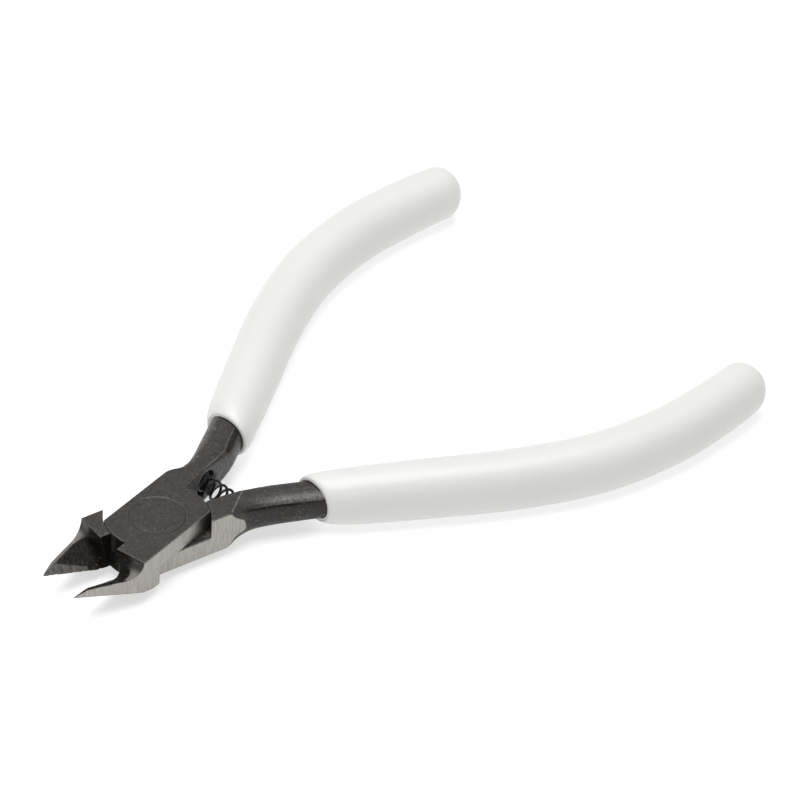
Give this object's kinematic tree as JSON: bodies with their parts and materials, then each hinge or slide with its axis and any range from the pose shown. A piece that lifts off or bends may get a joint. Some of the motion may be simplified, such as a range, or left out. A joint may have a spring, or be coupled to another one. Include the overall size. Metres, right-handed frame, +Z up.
{
  "type": "sprue nippers",
  "caption": "Small hand nippers for cutting plastic parts from a moulded sprue, with pointed flush-cut blades, a flush riveted lap joint, a return spring and white dipped grips.",
  "frame": {"origin": "on the pivot axis at the joint's flat underside", "axes": "+Z up the pivot axis, +X along the tool from the blades to the handles, +Y towards the upper lever's handle; the two levers are mirrored about the XZ plane at rest, apart from their lap plates"},
  "size_m": [0.1203, 0.0804, 0.0099],
  "materials": {
    "lever_steel": "black oxide on forged steel, with bright ground flanks and blades",
    "rivet_steel": "black oxide, ground flush with the joint",
    "spring_steel": "oiled black spring wire",
    "grip_vinyl": "satin white dipped vinyl"
  },
  "bodies": {
    "upper_half": {"upper_lever": "lever_steel", "pivot_rivet": "rivet_steel", "return_spring": "spring_steel", "upper_lever_grip": "grip_vinyl"},
    "lower_half": {"lower_lever": "lever_steel", "lower_lever_grip": "grip_vinyl"}
  },
  "joints": [
    {"name": "lever_pivot", "type": "hinge", "parent": "upper_half", "child": "lower_half", "pos_m": [0, 0, 0.00335], "axis": [0, 0, 1], "range_deg": [-4, 18.6], "stiffness_Nm_per_rad": 0.35, "deforming": ["return_spring"]}
  ]
}
